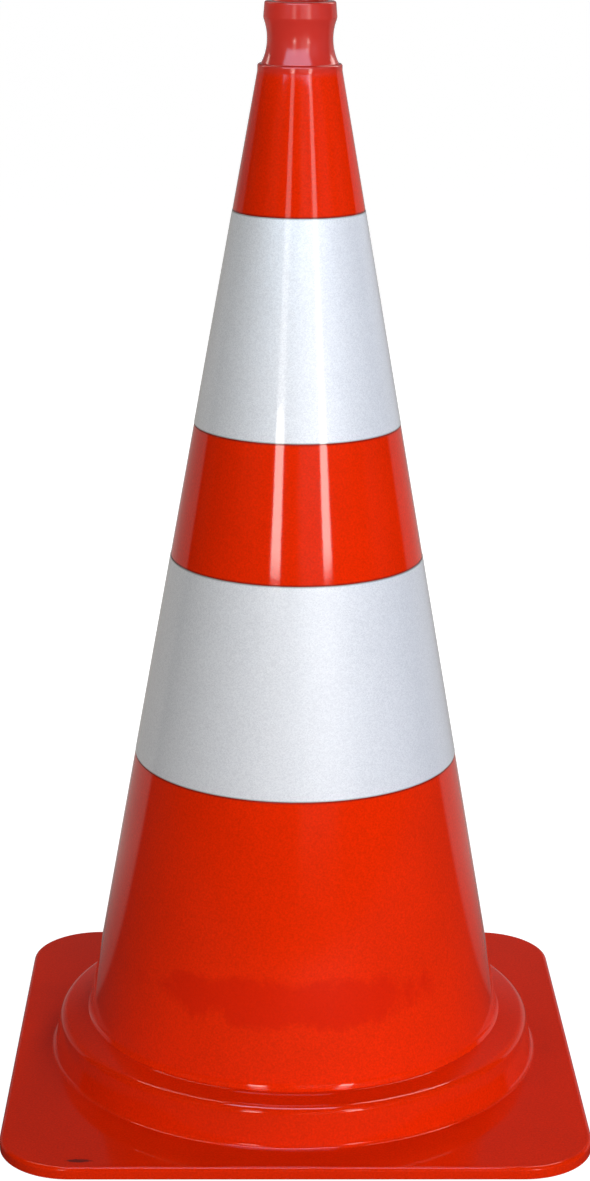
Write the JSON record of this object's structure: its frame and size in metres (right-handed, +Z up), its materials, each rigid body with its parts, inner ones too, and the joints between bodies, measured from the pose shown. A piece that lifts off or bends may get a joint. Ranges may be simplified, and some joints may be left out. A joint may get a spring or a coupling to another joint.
{
  "type": "traffic cone",
  "caption": "Tall hollow plastic traffic cone with reflective bands, an open waisted neck and a weighted square base with a raised ring.",
  "frame": {"origin": "on the floor under the cone's axis, at the centre of the square base", "axes": "+Z up along the cone's axis; X and Y along the sides of the square base; the reflective sleeves' lap seams are at +Y, the back"},
  "size_m": [0.4, 0.4, 0.75],
  "materials": {
    "cone_pvc": "glossy fluorescent red-orange soft PVC",
    "base_pvc": "glossy fluorescent red-orange soft PVC",
    "reflective_film": "white glass-bead reflective film under a clear gloss face",
    "ballast": "matt recycled black",
    "foot_rubber": "matt black rubber"
  },
  "bodies": {
    "root": {"cone_body": "cone_pvc", "base": "base_pvc", "upper_reflective_sleeve": "reflective_film", "lower_reflective_sleeve": "reflective_film", "ballast_ring": "ballast", "rubber_feet": "foot_rubber"}
  },
  "joints": []
}
